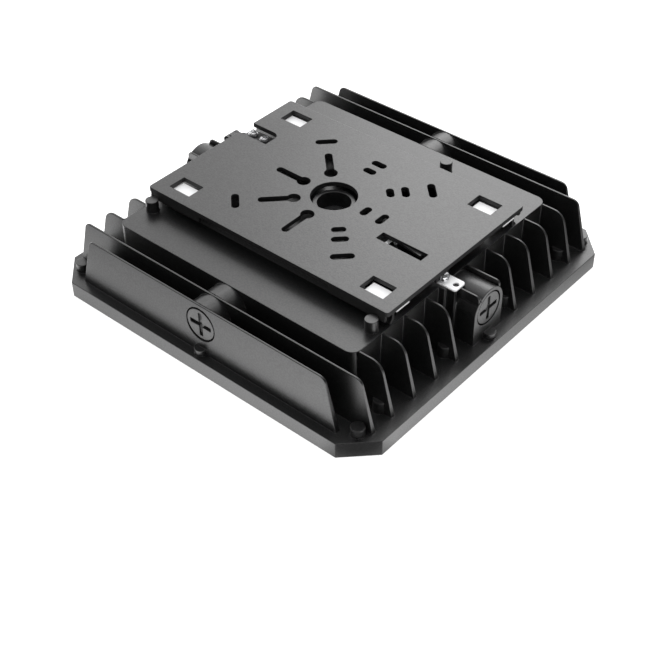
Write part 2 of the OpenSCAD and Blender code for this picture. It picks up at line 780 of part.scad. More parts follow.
module led_board() color(white) difference() {
    translate([0, 0, board_z]) linear_extrude(board_t) rounded(board_w, board_w, pan_r / 2);
    for (p = board_screw_places) translate([p.x, p.y, board_z - over])
        cylinder(r = board_screw_r + hole_gap, h = board_t + 2 * over, $fn = 32);
}

module leds() color("#f0d060") for (i = [0:led_count - 1], j = [0:led_count - 1])
    translate([(i - (led_count - 1) / 2) * led_pitch - led_w / 2,
        (j - (led_count - 1) / 2) * led_pitch - led_w / 2, board_z - led_h])
        cube([led_w, led_w, led_h]);

connector_l = 9;
connector_w = 5.5;
connector_h = 4;
connector_lead_r = 0.9;
connector_in = 1.4;
connector_y = connector_in - board_w / 2;
module board_connector() color(white) difference() {
    translate([-connector_l / 2, connector_y, board_z - connector_h])
        cube([connector_l, connector_w, connector_h]);
    for (s = [-1, 1]) translate([s * connector_l / 4, connector_y - over, board_z - connector_h / 2])
        rotate([-90, 0, 0]) cylinder(r = connector_lead_r, h = connector_w / 2 + over, $fn = 24);
}

module board_screws() color(steel) for (p = board_screw_places)
    from_below([p.x, p.y, board_z])
        pan_screw(screw_head_r, screw_head_h, board_screw_r, board_t + board_screw_l);

// Pieces in the box
module driver_case() color(steel) translate([0, driver_y, driver_top]) difference() {
    union() {
        translate([-driver_l / 2, -driver_w / 2, -driver_h]) cube([driver_l, driver_w, driver_h]);
        translate([-driver_l / 2 - driver_tab, -driver_tab_w / 2, -driver_t])
            cube([driver_l + 2 * driver_tab, driver_tab_w, driver_t]);
    }
    translate([-driver_l / 2 + driver_t, -driver_w / 2 + driver_t, -driver_h - over])
        cube([driver_l - 2 * driver_t, driver_w - 2 * driver_t, driver_h - driver_t + over]);
    for (s = [-1, 1]) translate([s * driver_screw_x, 0, -driver_t - over])
        cylinder(r = screw_r + hole_gap, h = driver_t + 2 * over, $fn = 48);
    translate([-driver_l / 2 - over, 0, -driver_h / 2]) rotate([0, 90, 0])
        cylinder(r = driver_lead_r, h = driver_l + 2 * over, $fn = 48);
}

module driver_lid() color(steel)
    translate([-driver_l / 2, driver_y - driver_w / 2, driver_top - driver_h - driver_t])
        cube([driver_l, driver_w, driver_t]);

driver_board_lift = 2;
driver_board_t = 1.6;
driver_part_h_share = 0.7;
driver_part_shares = [[-0.38, -0.2, 0.14, 0.36], [-0.12, 0.1, 0.26, 0.5], [0.14, -0.22, 0.12, 0.3],
    [0.32, 0.12, 0.18, 0.4]];
module driver_board() color(green)
    translate([0, driver_y, driver_top - driver_h + driver_board_lift]) {
        l = driver_l - 2 * driver_t - 2 * free_gap;
        w = driver_w - 2 * driver_t - 2 * free_gap;
        h = (driver_h - driver_t - driver_board_lift - driver_board_t) * driver_part_h_share;
        translate([-l / 2, -w / 2, 0]) cube([l, w, driver_board_t]);
        for (p = driver_part_shares)
            translate([p[0] * l - p[2] * l / 2, p[1] * w - p[3] * w / 2, driver_board_t - sink])
            cube([p[2] * l, p[3] * w, h + sink]);
    }

module driver_screws() color(steel) for (s = [-1, 1])
    from_below([s * driver_screw_x, driver_y, driver_top - driver_t]) pan_screw(screw_head_r,
        screw_head_h, screw_r, driver_t + box_top - driver_top - 2 * blind);

module terminal_block() color(white) translate([0, terminal_y, driver_top]) difference() {
    translate([-terminal_l / 2, -terminal_w / 2, -terminal_h])
        cube([terminal_l, terminal_w, terminal_h]);
    for (s = [-1, 1]) translate([s * (terminal_l / 2 - terminal_screw_in), 0, -terminal_h - over])
        cylinder(r = screw_r + hole_gap, h = terminal_h + 2 * over, $fn = 48);
    for (k = [0:terminal_ways - 1]) translate([(k - (terminal_ways - 1) / 2) * terminal_way_pitch, 0, 0]) {
        translate([0, -terminal_w / 2 - over, -terminal_h / 2]) rotate([-90, 0, 0])
            cylinder(r = terminal_way_r, h = terminal_w + 2 * over, $fn = 48);
        translate([0, 0, -terminal_h - over])
            cylinder(r = clamp_r + run_gap, h = terminal_h / 2 + over, $fn = 48);
    }
}

module terminal_mount_screws() color(steel) for (s = [-1, 1])
    from_below([s * (terminal_l / 2 - terminal_screw_in), terminal_y, driver_top - terminal_h])
        pan_screw(screw_head_r, screw_head_h, screw_r,
            terminal_h + box_top - driver_top - 2 * blind);

module terminal_clamp_screws() color(zinc) for (k = [0:terminal_ways - 1])
    translate([(k - (terminal_ways - 1) / 2) * terminal_way_pitch, terminal_y,
        driver_top - terminal_h]) difference() {
        cylinder(r = clamp_r, h = clamp_l, $fn = 48);
        translate([-clamp_r - over, -clamp_r * cross_w_share, -over])
            cube([2 * clamp_r + 2 * over, 2 * clamp_r * cross_w_share, clamp_l / 6 + over]);
    }

ground_z = roof_under - ground_boss_h;
module ground_lug() color(copper) translate([ground_x, ground_y, ground_z - lug_t]) {
    difference() {
        union() {
            cylinder(r = ground_boss_r, h = lug_t, $fn = 64);
            translate([0, -lug_barrel_r, 0]) cube([ground_boss_r + lug_barrel_r, 2 * lug_barrel_r, lug_t]);
        }
        translate([0, 0, -over]) cylinder(r = screw_r + hole_gap, h = lug_t + 2 * over, $fn = 48);
    }
    translate([ground_boss_r + lug_barrel_r - sink, 0, lug_t - lug_barrel_r]) rotate([0, 90, 0])
        difference() {
            cylinder(r = lug_barrel_r, h = lug_barrel_l, $fn = 48);
            translate([0, 0, lug_barrel_l / 4]) cylinder(r = lug_barrel_in_r, h = lug_barrel_l, $fn = 48);
        }
}

module ground_screw() color(green) translate([ground_x, ground_y, ground_z - lug_t]) {
    translate([0, 0, -ground_head_h]) cylinder(r = ground_head_r, h = ground_head_h, $fn = 6);
    translate([0, 0, -ground_head_h / 2])
        cylinder(r = screw_r, h = ground_head_h / 2 + lug_t + ground_boss_h + roof_t - 2 * blind, $fn = 48);
}

hub_floor = hub_low + hub_lip_t;
hub_grommet_r = 7;
hub_grommet_t = 1.5;
hub_step = 0.5;
module hub_grommet() color(dark) rotate_extrude($fn = 96) polygon([
    [hub_grommet_r, hub_low - hub_grommet_t], [hub_lip_r + hub_grommet_t, hub_low - hub_grommet_t],
    [hub_lip_r + hub_grommet_t, hub_low], [hub_lip_r - run_gap, hub_low],
    [hub_lip_r - run_gap, hub_floor], [hub_r - hub_step - run_gap, hub_floor],
    [hub_r - hub_step - run_gap, hub_floor + hub_grommet_t],
    [hub_grommet_r, hub_floor + hub_grommet_t]]);

// Mounting plate and what holds it
module plate_outline() difference() {
    rounded(plate_l, plate_w, plate_r);
    circle(r = centre_r, $fn = 128);
    for (a = key_turns) rotate(a) {
        translate([key_head_at, 0]) circle(r = key_head_r, $fn = 64);
        translate([(key_head_at + key_end_at) / 2, 0])
            stadium(key_end_at - key_head_at + key_slot_w, key_slot_w);
    }
    for (a = slot_turns) rotate(a) {
        translate([slot_in_at, 0]) rotate(90) stadium(slot_in_l, slot_w);
        translate([slot_out_at, 0]) rotate(90) stadium(slot_out_l, slot_w);
    }
    translate([slot_near_at, 0]) rotate(90) stadium(slot_in_l, slot_w);
    translate([slot_far_at, 0]) rotate(90) stadium(slot_out_l, slot_w);
    for (x = [-1, 1], y = [-1, 1]) {
        translate([x * diagonal_at, y * diagonal_at]) rotate(-45 * x * y) stadium(diagonal_l, diagonal_w);
        translate([x * window_x, y * window_y]) square([window_l, window_w], center = true);
    }
    translate([long_slot_x, long_slot_y]) square([long_slot_l, long_slot_w], center = true);
    translate([-plate_l / 2 - over, notch_y0]) square([notch_l + over - notch_r, notch_y1 - notch_y0]);
    translate([-plate_l / 2, notch_y0]) square([notch_l, notch_y1 - notch_y0 - notch_r]);
    translate([-plate_l / 2 + notch_l - notch_r, notch_y1 - notch_r]) circle(r = notch_r, $fn = 64);
}

module mounting_plate() color(black) {
    translate([0, 0, plate_z]) linear_extrude(plate_t) plate_outline();
    for (y = [-1, 1], x = [-1, 1]) {
        lip_y = y * (plate_w / 2 - lip_t / 2);
        lip_x = x * (plate_l / 2 - plate_r - lip_l / 2);
        translate([lip_x - lip_l / 2, lip_y - lip_t / 2, plate_z - lip_h])
            cube([lip_l, lip_t, lip_h + sink]);
    }
    difference() {
        translate([box_x - plate_ear_in - plate_ear_t / 2, lock_y - plate_ear_w / 2, plate_z - plate_ear_h])
            cube([plate_ear_t, plate_ear_w, plate_ear_h + sink]);
        translate([box_x - plate_ear_in - plate_ear_t, lock_y, box_top + lock_rise]) {
            rotate([0, 90, 0]) cylinder(r = lock_shank_r + 2 * hole_gap, h = 2 * plate_ear_t, $fn = 48);
            translate([0, -lock_shank_r - 2 * hole_gap, -plate_ear_h])
                cube([2 * plate_ear_t, 2 * (lock_shank_r + 2 * hole_gap), plate_ear_h]);
        }
    }
    difference() {
        union() {
            translate([pin_x, knuckle_y - knuckle_w / 2, pin_z]) rotate([-90, 0, 0])
                cylinder(r = knuckle_r, h = knuckle_w, $fn = 64);
            translate([pin_x, knuckle_y - knuckle_w / 2, plate_z])
                cube([pin_out + sink, knuckle_w, web_t]);
        }
        translate([pin_x, knuckle_y - knuckle_w / 2 - over, pin_z]) rotate([-90, 0, 0])
            cylinder(r = pin_r + run_gap, h = knuckle_w + 2 * over, $fn = 64);
    }
    slot_edge = long_slot_y + long_slot_w / 2;
    translate([0, 0, plate_z]) linear_extrude(plate_t / 2)
        polygon([[tongue_near, slot_edge + sink], [tongue_near, slot_edge], [tongue_far, slot_edge - tongue_w],
            [tongue_far + sink, slot_edge - tongue_w], [tongue_far + sink, slot_edge + sink]]);
}

hinge_screw_xs = [-box_x + hinge_screw_in, -box_x + hinge_screw_in + hinge_screw_pitch];
bracket_z = box_top + hinge_pad_h;
module hinge_bracket() color(black) difference() {
    union() {
        translate([pin_x + knuckle_r + free_gap + ear_low / 4, bracket_y0, bracket_z])
            cube([-box_x + bracket_in - pin_x - knuckle_r - free_gap - ear_low / 4,
                bracket_y1 - bracket_y0, bracket_t]);
        translate([-box_x - bracket_out, bracket_mid_y, bracket_z])
            cube([bracket_in, bracket_y1 - bracket_mid_y, bracket_t]);
        for (s = [-1, 1]) translate([0, knuckle_y + s * (knuckle_w / 2 + free_gap + ear_w / 2), 0]) {
            translate([pin_x, 0, pin_z]) along_y(ear_w) circle(r = knuckle_r, $fn = 64);
            along_y(ear_w) polygon([[pin_x, pin_z - knuckle_r + free_gap], [-box_x + bracket_out, bracket_z],
                [-box_x + bracket_out, bracket_z + bracket_t], [pin_x + 5 * knuckle_r / 3, pin_z - free_gap],
                [pin_x + 2 * knuckle_r / 3, pin_z + 2 * knuckle_r / 3], [pin_x, pin_z]]);
        }
    }
    translate([pin_x, knuckle_y, pin_z]) along_y(4 * knuckle_w) circle(r = pin_r + run_gap, $fn = 64);
    for (x = hinge_screw_xs) translate([x, hinge_screw_y, bracket_z - over])
        cylinder(r = screw_r + hole_gap, h = bracket_t + 2 * over, $fn = 48);
}

module hinge_screws() color(zinc) for (x = hinge_screw_xs)
    translate([x, hinge_screw_y, bracket_z + bracket_t])
        pan_screw(hinge_head_r, hinge_head_h, screw_r, hinge_screw_l - bracket_t);

module hinge_pin() color(steel) {
    l = knuckle_w + 2 * free_gap + 2 * ear_w;
    translate([pin_x, knuckle_y - l / 2, pin_z]) rotate([-90, 0, 0]) cylinder(r = pin_r, h = l, $fn = 64);
}

// Spring clip that steps up from the roof to just below the plate, drawn for the latch side
pad_top = plate_z - clip_gap;
clip_x0 = box_x - clip_foot_in;
clip_screw_x = clip_x0 + clip_screw_in;
clip_x1 = clip_x0 + clip_foot;
clip_x2 = clip_x1 + clip_rise_l;
module clip(x, y) color(zinc) mirror([x < 0 ? 1 : 0, 0, 0]) difference() {
    clip_x3 = box_x + (x < 0 ? -pad_end_left_in : pad_end_out);
    translate([0, y * window_y, 0]) along_y(clip_w) polygon([[clip_x0, box_top],
        [clip_x1 + strip_t / 2, box_top], [clip_x2 + strip_t / 2, pad_top - strip_t],
        [clip_x3, pad_top - strip_t], [clip_x3, pad_top], [clip_x2, pad_top],
        [clip_x1, box_top + strip_t], [clip_x0, box_top + strip_t]]);
    translate([clip_screw_x, y * window_y, box_top - over])
        cylinder(r = clip_screw_r + hole_gap, h = strip_t + 2 * over, $fn = 32);
}

module clip_front_left() clip(-1, -1);
module clip_front_right() clip(1, -1);
module clip_back_left() clip(-1, 1);
module clip_back_right() clip(1, 1);

module clip_screws() color(zinc) for (x = [-1, 1], y = [-1, 1])
    translate([x * clip_screw_x, y * window_y, box_top + strip_t])
        pan_screw(clip_head_r, clip_head_h, clip_screw_r, clip_screw_l);

// Staple-shaped bar that crosses the plate's long slot from below
module rest_bar() color(zinc) {
    top = plate_z - bar_top_gap - box_top;
    translate([bar_x - bar_w / 2, long_slot_y - bar_l / 2, box_top]) {
        translate([0, 0, top - strip_t]) cube([bar_w, bar_l, strip_t]);
        for (y = [0, bar_l - strip_t]) translate([0, y, 0]) cube([bar_w, strip_t, top]);
    }
}

rivet_x = box_x - rivet_in;
lock_z = box_top + lock_rise;
module latch_bracket() color(zinc) difference() {
    union() {
        translate([box_x - latch_in, latch_y - latch_w / 2, box_top])
            cube([latch_in + tab_out - tab_r, latch_w, strip_t]);
        translate([box_x, latch_y - latch_w / 2 + tab_r, box_top])
            cube([tab_out, latch_w - 2 * tab_r, strip_t]);
        for (s = [-1, 1]) translate([box_x + tab_out - tab_r, latch_y + s * (latch_w / 2 - tab_r), box_top])
            cylinder(r = tab_r, h = strip_t, $fn = 48);
        translate([box_x - latch_ear_in - ear_t / 2, latch_y - latch_w / 2, box_top])
            cube([ear_t, latch_w, plate_z - box_top - 2 * free_gap]);
    }
    translate([box_x + tab_out - tab_hole_in, latch_y, box_top - over])
        cylinder(r = tab_hole_r, h = strip_t + 2 * over, $fn = 48);
    translate([rivet_x, latch_y, box_top - over])
        cylinder(r = rivet_shank_r + hole_gap, h = strip_t + 2 * over, $fn = 32);
    translate([box_x - latch_ear_in - ear_t, lock_y, lock_z]) rotate([0, 90, 0])
        cylinder(r = lock_shank_r + run_gap, h = 2 * ear_t, $fn = 64);
}

module latch_rivet() color(zinc) translate([rivet_x, latch_y, box_top + strip_t]) {
    rotate_extrude($fn = 48) polygon([[0, 0], [rivet_r, 0], [rivet_r * crown_share, rivet_h], [0, rivet_h]]);
    translate([0, 0, -rivet_l - strip_t + blind / 4])
        cylinder(r = rivet_shank_r, h = rivet_l + strip_t, $fn = 32);
}

washer_x = box_x - plate_ear_in + plate_ear_t / 2 + free_gap;
washer_r = lock_head_r + washer_extra;
module lock_washer() color(zinc) translate([washer_x, lock_y, lock_z]) rotate([0, 90, 0]) difference() {
    cylinder(r = washer_r, h = washer_t, $fn = 64);
    translate([0, 0, -over]) cylinder(r = lock_shank_r + run_gap, h = washer_t + 2 * over, $fn = 64);
}

module lock_screw() color(zinc) translate([washer_x + washer_t + run_gap, lock_y, lock_z])
    rotate([0, 90, 0]) cross_screw(lock_head_r, lock_head_h, lock_shank_r,
        washer_x + washer_t - box_x + latch_ear_in + ear_t / 2 + lock_tip / 3,
        dome_side(lock_head_r, lock_head_h));

// Conduit plugs and their seals, on the four sides
module plug(a) color(black) on_side(a) difference() {
    head = plug_recess + plug_head_t;
    deep = head + plug_groove_w;
    union() {
        translate([0, 0, -head]) cylinder(r = plug_head_r, h = plug_head_t, $fn = 128);
        translate([0, 0, -deep - sink])
            cylinder(r = plug_groove_r, h = plug_groove_w + 2 * sink, $fn = 96);
        translate([0, 0, -deep - plug_thread_l])
            cylinder(r = conduit_r - run_gap, h = plug_thread_l, $fn = 128);
    }
    for (t = [0, 90]) rotate([0, 0, t])
        translate([-plug_slot_l / 2, -plug_slot_w / 2, -plug_recess - plug_slot_d])
        cube([plug_slot_l, plug_slot_w, plug_slot_d + over]);
    translate([0, 0, -deep - plug_thread_l - over])
        cylinder(r = conduit_r - thread_deep, h = plug_thread_l + over, $fn = 96);
}

module seal(a) color(dark) on_side(a)
    translate([0, 0, -plug_recess - plug_head_t - plug_groove_w + seal_axial_gap]) difference() {
        cylinder(r = seal_out_r, h = plug_groove_w - 2 * seal_axial_gap, $fn = 96);
        translate([0, 0, -over]) cylinder(r = plug_groove_r + seal_in_gap, h = plug_groove_w + over, $fn = 96);
    }

module plug_right() plug(0);
module plug_back() plug(90);
module plug_left() plug(180);
module plug_front() plug(270);
module seal_right() seal(0);
module seal_back() seal(90);
module seal_left() seal(180);
module seal_front() seal(270);

housing();
lens_frame();
lens();
lens_gasket();
frame_screws();
led_tray();
tray_screws();
tray_grommet();
led_board();
leds();
board_connector();
board_screws();
driver_case();
driver_lid();
driver_board();
driver_screws();
terminal_block();
terminal_mount_screws();
terminal_clamp_screws();
ground_lug();
ground_screw();
hub_grommet();
mounting_plate();
hinge_bracket();
hinge_screws();
hinge_pin();
clip_front_left();
clip_front_right();
clip_back_left();
clip_back_right();
clip_screws();
rest_bar();
latch_bracket();
latch_rivet();
lock_washer();
lock_screw();
plug_right();
plug_back();
plug_left();
plug_front();
seal_right();
seal_back();
seal_left();
seal_front();
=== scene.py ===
import math
import bmesh
import bpy
import numpy as np
from mathutils import Matrix, Vector


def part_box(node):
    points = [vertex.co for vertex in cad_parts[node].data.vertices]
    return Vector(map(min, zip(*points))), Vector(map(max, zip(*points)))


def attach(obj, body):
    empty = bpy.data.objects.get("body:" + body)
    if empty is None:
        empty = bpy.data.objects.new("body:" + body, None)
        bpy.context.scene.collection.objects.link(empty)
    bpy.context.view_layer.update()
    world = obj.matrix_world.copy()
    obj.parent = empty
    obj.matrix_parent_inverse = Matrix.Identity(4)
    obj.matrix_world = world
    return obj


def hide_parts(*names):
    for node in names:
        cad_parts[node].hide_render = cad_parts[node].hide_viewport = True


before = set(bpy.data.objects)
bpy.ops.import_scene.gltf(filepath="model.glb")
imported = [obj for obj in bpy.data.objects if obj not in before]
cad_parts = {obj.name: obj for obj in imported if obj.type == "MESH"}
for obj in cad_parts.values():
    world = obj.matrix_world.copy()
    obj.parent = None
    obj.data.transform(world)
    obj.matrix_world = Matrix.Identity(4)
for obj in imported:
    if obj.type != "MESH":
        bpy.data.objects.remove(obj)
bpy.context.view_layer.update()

# Camera. The light stands on its lens side, seen from above its front right corner with a long
# lens. The angles, the distance and the lens are those fitted to the photograph.
view_azimuth, view_elevation = math.radians(41.253), math.radians(40.969)
view_roll = math.radians(-0.789)
view_target = Vector((0.03153, -0.04605, 0.0))
view_distance, view_lens, sensor_width = 0.79506, 71.6, 36
nearest_seen, farthest_seen = 0.02, 20
view_back = Vector((math.sin(view_azimuth) * math.cos(view_elevation),
                    -math.cos(view_azimuth) * math.cos(view_elevation), math.sin(view_elevation)))
view_right = Vector((math.cos(view_azimuth), math.sin(view_azimuth), 0))
view_up = view_back.cross(view_right)
camera_data = bpy.data.cameras.new("camera")
camera_data.lens, camera_data.sensor_width = view_lens, sensor_width
camera_data.clip_start, camera_data.clip_end = nearest_seen, farthest_seen
camera = bpy.data.objects.new("camera", camera_data)
bpy.context.scene.collection.objects.link(camera)
tilted_right = view_right * math.cos(view_roll) + view_up * math.sin(view_roll)
tilted_up = view_up * math.cos(view_roll) - view_right * math.sin(view_roll)
camera_place = Matrix((tilted_right, tilted_up, view_back)).transposed().to_4x4()
camera_place.translation = view_target + view_back * view_distance
camera.matrix_world = camera_place
bpy.context.scene.camera = camera


# Housing. One aluminium die casting: the square rim, the central box, the fins that carry the heat
# away, the four conduit bosses and the screw bosses. It comes from the die with small radii on
# every edge and is then powder coated in a fine-grained satin black.
class Sock:
    """A socket of a material's tree: + - * and ** on it add Math nodes."""

    def __init__(self, shade, link):
        self.shade, self.link = shade, link

    def maths(self, operation, *values):
        return self.shade.node("ShaderNodeMath", {"operation": operation}, dict(enumerate(values)))

    def __add__(self, other):
        return self.maths("ADD", self, other)

    def __radd__(self, other):
        return self.maths("ADD", other, self)

    def __sub__(self, other):
        return self.maths("SUBTRACT", self, other)

    def __rsub__(self, other):
        return self.maths("SUBTRACT", other, self)

    def __mul__(self, other):
        return self.maths("MULTIPLY", self, other)

    def __pow__(self, other):
        return self.maths("POWER", self, other)

    def clamped(self):
        return self.shade.node("ShaderNodeClamp", {}, {0: self})


class Finish:
    """A material being written, with one method that adds any node."""

    def __init__(self, name):
        self.material = bpy.data.materials.new(name)
        self.material.use_nodes = True
        self.tree = self.material.node_tree
        self.tree.nodes.clear()

    def node(self, kind, settings=(), inputs=(), out=0):
        """Adds a node of that kind, gives it its settings, then its sockets' values or links."""
        made = self.tree.nodes.new(kind)
        for key, value in dict(settings).items():
            setattr(made, key, value)
        for key, value in dict(inputs).items():
            socket = made.inputs[key]
            if isinstance(value, Sock):
                self.tree.links.new(value.link, socket)
            elif socket.type == "RGBA" and not isinstance(value, (int, float)):
                socket.default_value = (*value, 1)
            else:
                socket.default_value = value
        return Sock(self, made.outputs[out]) if made.outputs else None

    def place(self):
        return self.node("ShaderNodeTexCoord", out="Object")

    def noise(self, scale, detail=2.0, rough=0.5, place=None):
        """Noise from 0 to 1, whose blotches are about 1 / scale metres across."""
        return self.node("ShaderNodeTexNoise", {}, {
            "Vector": place or self.place(), "Scale": scale, "Detail": detail, "Roughness": rough})

    def between(self, share, low, high):
        """The colour low where share is 0, and high where it is 1."""
        return self.node("ShaderNodeMix", {"data_type": "RGBA"},
                         {"Factor": share, "A": low, "B": high}, out="Result")

    def bump(self, height, strength, depth):
        return self.node("ShaderNodeBump", {},
                         {"Height": height, "Strength": strength, "Distance": depth})

    def surface(self, **inputs):
        """Ends the material in a Principled shader; an input's name has _ where its socket's has
        a space."""
        sockets = {name.replace("_", " "): value for name, value in inputs.items()}
        made = self.node("ShaderNodeBsdfPrincipled", {}, sockets)
        self.node("ShaderNodeOutputMaterial", {}, {"Surface": made})
        return self.material


def powder_coat(name, colour, grain, gloss, cut=0.0):
    """Satin powder coat: the colour drifts slowly, and fine grains roughen and dimple it. Grain is
    how strongly they dimple it, gloss its roughness, and cut the share of the top coat's sheen
    that the walls of a cut sheet lose."""
    coat = Finish(name)
    drift = coat.noise(scale=14, detail=3)
    grains = coat.noise(scale=1000, detail=2, rough=0.6)
    middle, contrast = 0.5, 4
    speck = ((grains - middle) * contrast + middle).clamped()
    wall = coat.node("ShaderNodeAttribute", {"attribute_name": "wall"}, out="Fac") * cut
    swing, drift_part = 0.25, 0.55
    dark, light = (tuple(c * k for c in colour) for k in (1 - swing, 1 + swing))
    sheen, drift_sheen, speck_sheen = 0.64, 0.08, 0.44
    grain_rough, wall_rough, grain_depth = 0.12, 0.45, 0.00012
    return coat.surface(
        Base_Color=coat.between(drift * drift_part + grains * (1 - drift_part), dark, light),
        Roughness=gloss - grain_rough / 2 + grains * grain_rough + wall * wall_rough,
        Specular_IOR_Level=1.0,
        Coat_Weight=(sheen + drift * drift_sheen + speck * speck_sheen) * (1 - wall),
        Coat_Roughness=gloss, Normal=coat.bump(grains, grain, grain_depth))


def join_flat(shell):
    """Joins neighbouring faces of one plane, longest shared edge first. The joined face has to stay
    convex, turning to the same side at both ends of the edge, or has to be one of few points, which
    can't wind round a hole."""
    same_plane, few_points, flat_turn = 0.01, 8, -1e-11
    flat = [edge for edge in shell.edges
            if len(edge.link_faces) == 2 and edge.calc_face_angle() < same_plane]
    for edge in sorted(flat, key=lambda shared: -shared.calc_length()):
        if edge.is_valid and len(edge.link_faces) == 2:
            one, two = edge.link_loops
            ends = ((one.link_loop_prev.vert, one.vert, two.link_loop_next.link_loop_next.vert),
                    (two.link_loop_prev.vert, two.vert, one.link_loop_next.link_loop_next.vert))
            convex = all((b.co - a.co).cross(c.co - b.co).dot(one.face.normal) > flat_turn
                         for a, b, c in ends)
            few = len(one.face.verts) + len(two.face.verts) < few_points
            if len(set(one.face.verts) & set(two.face.verts)) == 2 and (convex or few):
                bmesh.utils.face_join((one.face, two.face))


def join_thin(shell):
    """Joins whole flat faces, and drops the points along their straight edges."""
    same_plane = math.radians(0.6)
    bmesh.ops.dissolve_limit(shell, angle_limit=same_plane, verts=shell.verts, edges=shell.edges)


def softened(node, radius, finish, body, join=join_thin):
    """A node's own points, merged, with flat faces joined; each edge then steps back by radius.
    The attribute wall is 1 on the faces that stand upright, and 0 on the others."""
    same_point, upright, steps, sharp_edge = 2e-6, 0.4, 2, math.radians(25)
    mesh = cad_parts[node].data.copy()
    mesh.materials.clear()
    shell = bmesh.new()
    shell.from_mesh(mesh)
    bmesh.ops.remove_doubles(shell, verts=shell.verts, dist=same_point)
    join(shell)
    shell.to_mesh(mesh)
    shell.free()
    facing = np.empty(len(mesh.polygons) * 3)
    mesh.polygons.foreach_get("normal", facing)
    wall = mesh.attributes.new("wall", "FLOAT", "FACE")
    wall.data.foreach_set("value", np.abs(facing[2::3]) < upright)
    if "custom_normal" in mesh.attributes:
        mesh.attributes.remove(mesh.attributes["custom_normal"])
    mesh.shade_smooth()
    mesh.materials.append(finish)
    piece = bpy.data.objects.new(node + "_finished", mesh)
    bpy.context.scene.collection.objects.link(piece)
    edge = piece.modifiers.new("edges", "BEVEL")
    edge.width, edge.segments, edge.limit_method = radius, steps, "ANGLE"
    edge.angle_limit, edge.use_clamp_overlap, edge.harden_normals = sharp_edge, False, True
    edge.miter_outer = "MITER_ARC"
    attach(piece, body)
    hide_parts(node)


cast_edge = 0.0004
casting_black = powder_coat("cast_black", (0.0024, 0.0024, 0.0026), grain=0.4, gloss=0.34)
softened("housing", cast_edge, casting_black, "fixture", join=join_flat)


def dressed(finish, slot, *nodes):
    """These nodes keep their own shape and get the finish."""
    for node in nodes:
        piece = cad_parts[node]
        piece.data.materials.clear()
        piece.data.materials.append(finish)


# Lens side. A cast frame holds a frosted sheet against a silicone gasket, with a screw at each
# corner and at the middle of each side.
softened("lens_frame", cast_edge, casting_black, "fixture")


def frosted_sheet():
    """Frosted polycarbonate: a pale sheet that lets light through, with a fine prism pattern."""
    sheet = Finish("frosted_sheet")
    prisms = sheet.node("ShaderNodeTexVoronoi", {"feature": "F1", "distance": "CHEBYCHEV"},
                        {"Vector": sheet.place(), "Scale": 420.0, "Randomness": 0.0})
    least_rough, rough_swing = 0.32, 0.12
    return sheet.surface(Base_Color=(0.86, 0.88, 0.88), Transmission_Weight=0.75, IOR=1.5,
                         Roughness=least_rough + sheet.noise(scale=900) * rough_swing,
                         Normal=sheet.bump(prisms, strength=0.35, depth=0.0006))


def plain_rubber(name, colour):
    """Matte rubber with a faint moulded bloom."""
    rubber = Finish(name)
    bloom = rubber.noise(scale=260, detail=3)
    least_rough, rough_swing, darkest, lightest = 0.68, 0.15, 0.85, 1.2
    low, high = (tuple(c * k for c in colour) for k in (darkest, lightest))
    return rubber.surface(Base_Color=rubber.between(bloom, low, high), Specular_IOR_Level=0.35,
                          Roughness=least_rough + bloom * rough_swing,
                          Normal=rubber.bump(rubber.noise(scale=1400), strength=0.2, depth=0.0001))


def plated(name, colour, rough, metal=1.0):
    """Plated steel: bright metal, faintly clouded, with the fine grain of the rolled sheet."""
    plate = Finish(name)
    cloud = plate.noise(scale=90, detail=4)
    rolled = plate.node("ShaderNodeMapping", {}, {
        "Vector": plate.place(), "Scale": (2600.0, 500.0, 2600.0)})
    grain = plate.noise(scale=1, place=rolled)
    darkest, cloud_metal, cloud_rough, grain_rough = 0.88, 0.1, 0.08, 0.06
    low = tuple(c * darkest for c in colour)
    return plate.surface(Base_Color=plate.between(cloud, low, colour),
                         Metallic=metal - cloud * cloud_metal,
                         Roughness=rough + cloud * cloud_rough + grain * grain_rough,
                         Normal=plate.bump(grain, strength=0.12, depth=0.00006))


screw_edge = 0.00012
screw_steel = plated("screw_steel", (0.66, 0.67, 0.69), rough=0.26)
dressed(frosted_sheet(), "lens", "lens")
dressed(plain_rubber("pale_silicone", (0.72, 0.72, 0.7)), "pale_rubber", "lens_gasket")
softened("frame_screws", screw_edge, screw_steel, "fixture")


# Light engine. A white reflector pan, pressed from sheet, is screwed under the flange and carries
# an aluminium board with rows of emitters.
def enamelled(name, colour, rough):
    """Baked enamel, or plastic with the same gloss, with a slight orange peel."""
    enamel = Finish(name)
    peel = enamel.noise(scale=500)
    darkest, peel_rough = 0.95, 0.08
    low = tuple(c * darkest for c in colour)
    return enamel.surface(Base_Color=enamel.between(enamel.noise(scale=20), low, colour),
                          Roughness=rough + peel * peel_rough,
                          Normal=enamel.bump(peel, strength=0.1, depth=0.0001))


def solder_mask(name, colour):
    """Circuit board: solder mask with the tracks under it showing as faint raised steps."""
    mask = Finish(name)
    tracks = mask.node("ShaderNodeTexBrick", {"offset": 0.37}, {
        "Vector": mask.place(), "Scale": 60.0, "Mortar Size": 0.03, "Color1": (1, 1, 1),
        "Color2": (0.9, 0.9, 0.9), "Mortar": (0.7, 0.7, 0.7)}, out="Fac")
    darkest, least_rough, track_rough = 0.86, 0.3, 0.1
    low = tuple(c * darkest for c in colour)
    return mask.surface(Base_Color=mask.between(tracks, colour, low),
                        Roughness=least_rough + tracks * track_rough,
                        Normal=mask.bump(tracks, strength=0.15, depth=0.0001))


